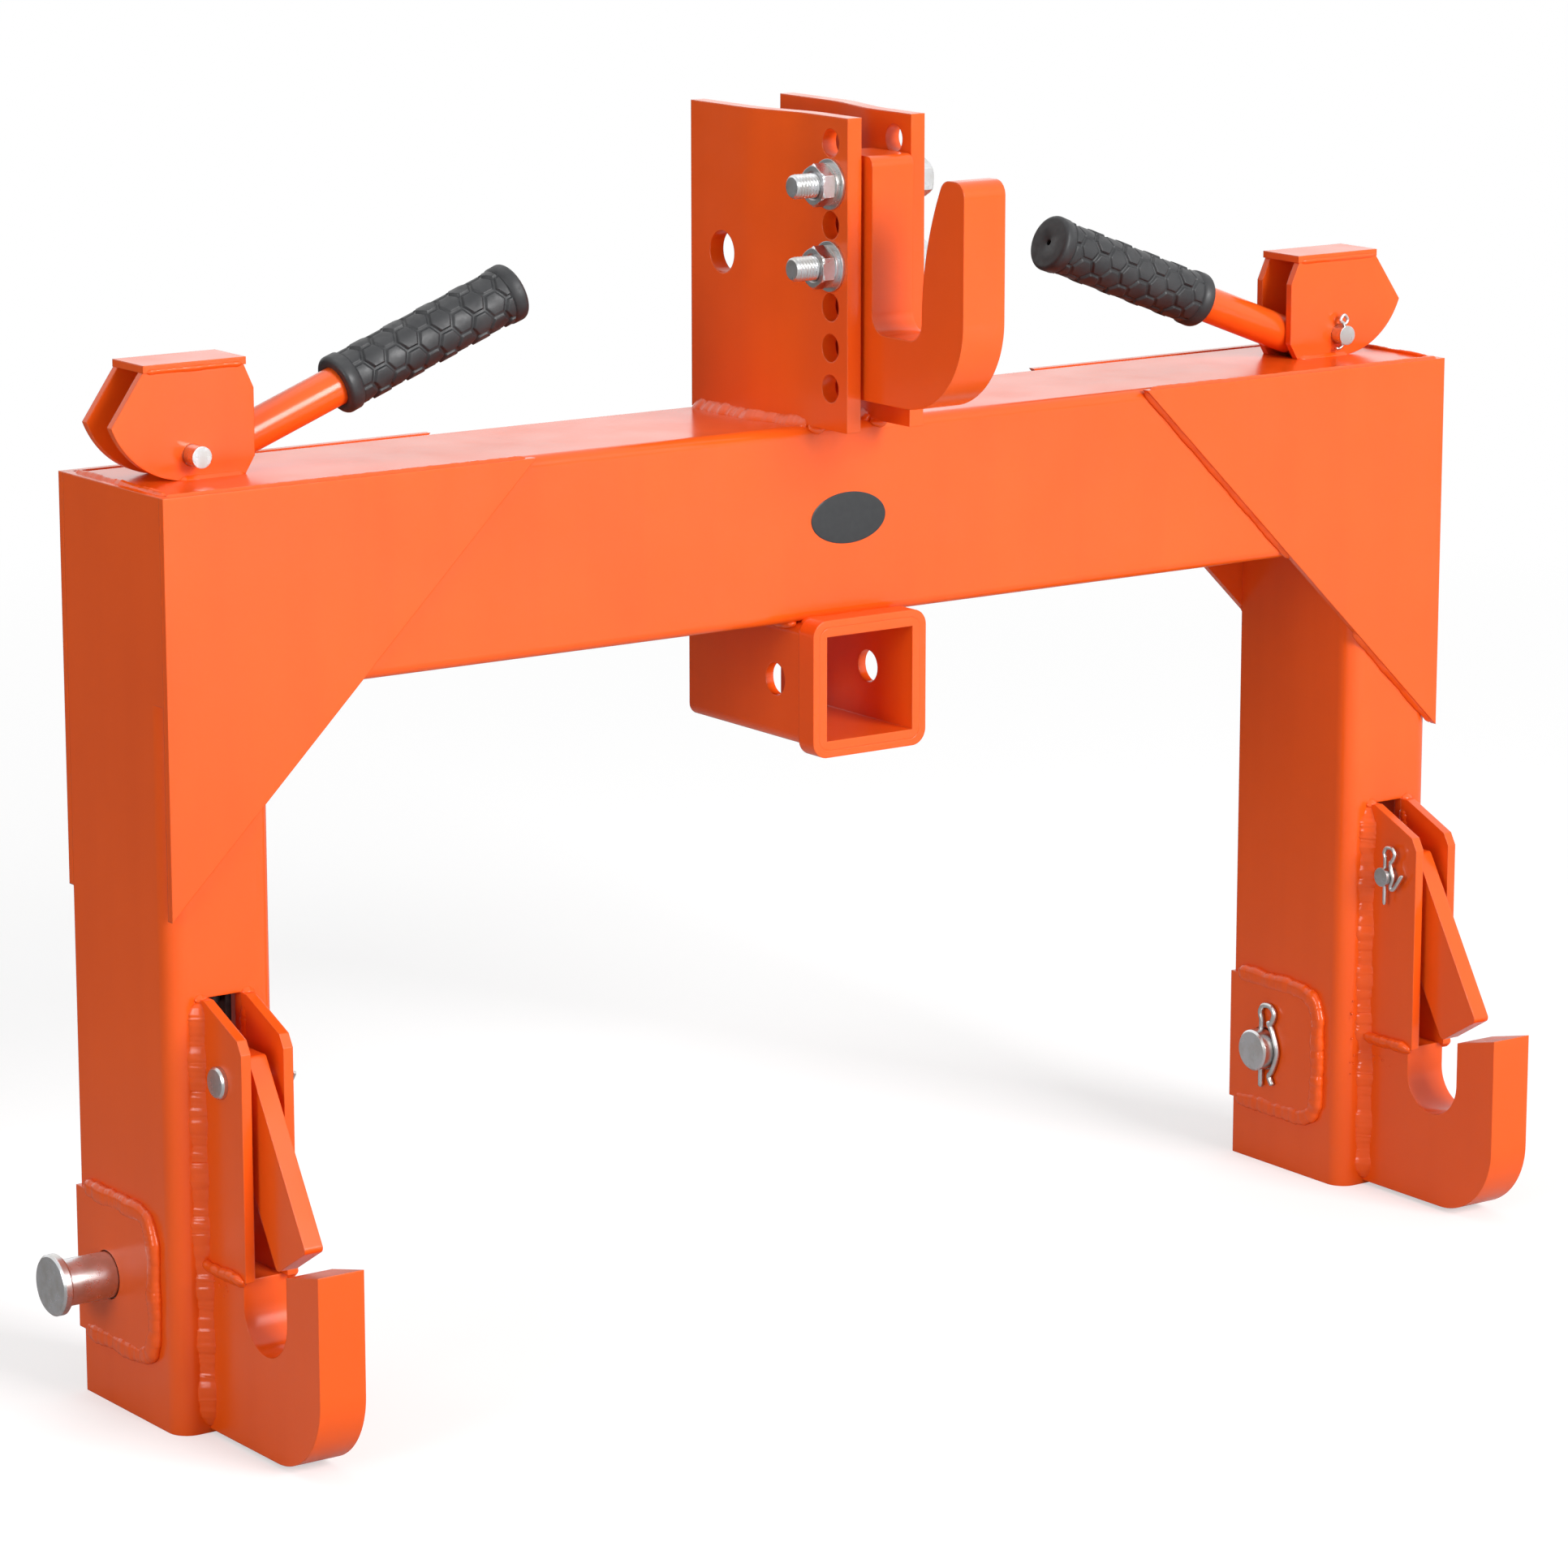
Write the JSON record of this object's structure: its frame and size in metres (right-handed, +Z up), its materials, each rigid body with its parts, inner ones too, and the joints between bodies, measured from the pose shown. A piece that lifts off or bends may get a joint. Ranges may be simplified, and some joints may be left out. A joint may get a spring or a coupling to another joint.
{
  "type": "three point quick hitch",
  "caption": "Inverted U steel frame with two latched lower hooks, a bolted top hook, lift levers with rubber grips, link pins and a square receiver socket.",
  "frame": {"origin": "under the middle of the whole part, on the floor plane at the leg ends", "axes": "+X across the hitch, -Y towards the implement that the hooks take, +Z up"},
  "size_m": [0.822, 0.198, 0.586],
  "materials": {
    "orange_paint": "glossy powder coat",
    "zinc": "zinc plated",
    "black_rubber": "matt"
  },
  "bodies": {
    "frame": {"crossbeam": "orange_paint", "mast_plate_right": "orange_paint", "mast_plate_left": "orange_paint", "top_hook": "orange_paint", "hook_bolts": "zinc", "hook_nuts": "zinc", "hook_flat_washers": "zinc", "hook_lock_washers": "zinc", "receiver_tube": "orange_paint", "receiver_collar": "orange_paint", "leg_right": "orange_paint", "gusset_front_right": "orange_paint", "gusset_back_right": "orange_paint", "leg_pad_inner_right": "orange_paint", "leg_pad_outer_right": "orange_paint", "lower_hook_right": "orange_paint", "latch_guard_inner_right": "orange_paint", "latch_guard_outer_right": "orange_paint", "latch_pin_right": "zinc", "latch_cotter_right": "zinc", "lever_pin_right": "zinc", "lever_cotter_right": "zinc", "lever_cover_front_right": "orange_paint", "lever_cover_back_right": "orange_paint", "lever_cover_cap_right": "orange_paint", "leg_left": "orange_paint", "gusset_front_left": "orange_paint", "gusset_back_left": "orange_paint", "leg_pad_inner_left": "orange_paint", "leg_pad_outer_left": "orange_paint", "lower_hook_left": "orange_paint", "latch_guard_inner_left": "orange_paint", "latch_guard_outer_left": "orange_paint", "latch_pin_left": "zinc", "latch_cotter_left": "zinc", "lever_pin_left": "zinc", "lever_cotter_left": "zinc", "lever_cover_front_left": "orange_paint", "lever_cover_back_left": "orange_paint", "lever_cover_cap_left": "orange_paint"},
    "lever_right": {"lever_tube_right": "orange_paint", "lever_lug_right": "orange_paint", "lever_grip_right": "black_rubber"},
    "rod_right": {"latch_rod_right": "zinc", "latch_strap_right": "orange_paint"},
    "latch_right": {"latch_right": "orange_paint", "strap_rivet_right": "zinc"},
    "draw_pin_right": {"link_pin_right": "zinc", "link_pin_clip_right": "zinc"},
    "lever_left": {"lever_tube_left": "orange_paint", "lever_lug_left": "orange_paint", "lever_grip_left": "black_rubber"},
    "rod_left": {"latch_rod_left": "zinc", "latch_strap_left": "orange_paint"},
    "latch_left": {"latch_left": "orange_paint", "strap_rivet_left": "zinc"},
    "draw_pin_left": {"link_pin_left": "zinc", "link_pin_clip_left": "zinc"}
  },
  "joints": [
    {"name": "lever_lift_right", "type": "hinge", "parent": "frame", "child": "lever_right", "pos_m": [0.34, 0.0563, 0.448], "axis": [0, 1, 0], "range_deg": [0, 30]},
    {"name": "rod_lift_right", "type": "slide", "parent": "frame", "child": "rod_right", "axis": [0, 0, 1], "range_m": [0, 0.0088]},
    {"name": "latch_swing_right", "type": "hinge", "parent": "frame", "child": "latch_right", "pos_m": [0.35, -0.0112, 0.171], "axis": [1, 0, 0], "range_deg": [0, 31]},
    {"name": "link_pin_push_right", "type": "slide", "parent": "frame", "child": "draw_pin_right", "axis": [-1, 0, 0], "range_m": [0, 0.0247]},
    {"name": "lever_lift_left", "type": "hinge", "parent": "frame", "child": "lever_left", "pos_m": [-0.34, 0.0563, 0.448], "axis": [0, -1, 0], "range_deg": [0, 30]},
    {"name": "rod_lift_left", "type": "slide", "parent": "frame", "child": "rod_left", "axis": [0, 0, 1], "range_m": [0, 0.0088]},
    {"name": "latch_swing_left", "type": "hinge", "parent": "frame", "child": "latch_left", "pos_m": [-0.35, -0.0112, 0.171], "axis": [1, 0, 0], "range_deg": [0, 31]},
    {"name": "link_pin_push_left", "type": "slide", "parent": "frame", "child": "draw_pin_left", "axis": [1, 0, 0], "range_m": [0, 0.0247]}
  ],
  "couplings": [
    {"joint": "rod_lift_right", "follows": "lever_lift_right", "m_per_rad": 0.016806},
    {"joint": "latch_swing_right", "follows": "lever_lift_right", "ratio": 1.0333},
    {"joint": "rod_lift_left", "follows": "lever_lift_left", "m_per_rad": 0.016806},
    {"joint": "latch_swing_left", "follows": "lever_lift_left", "ratio": 1.0333}
  ]
}
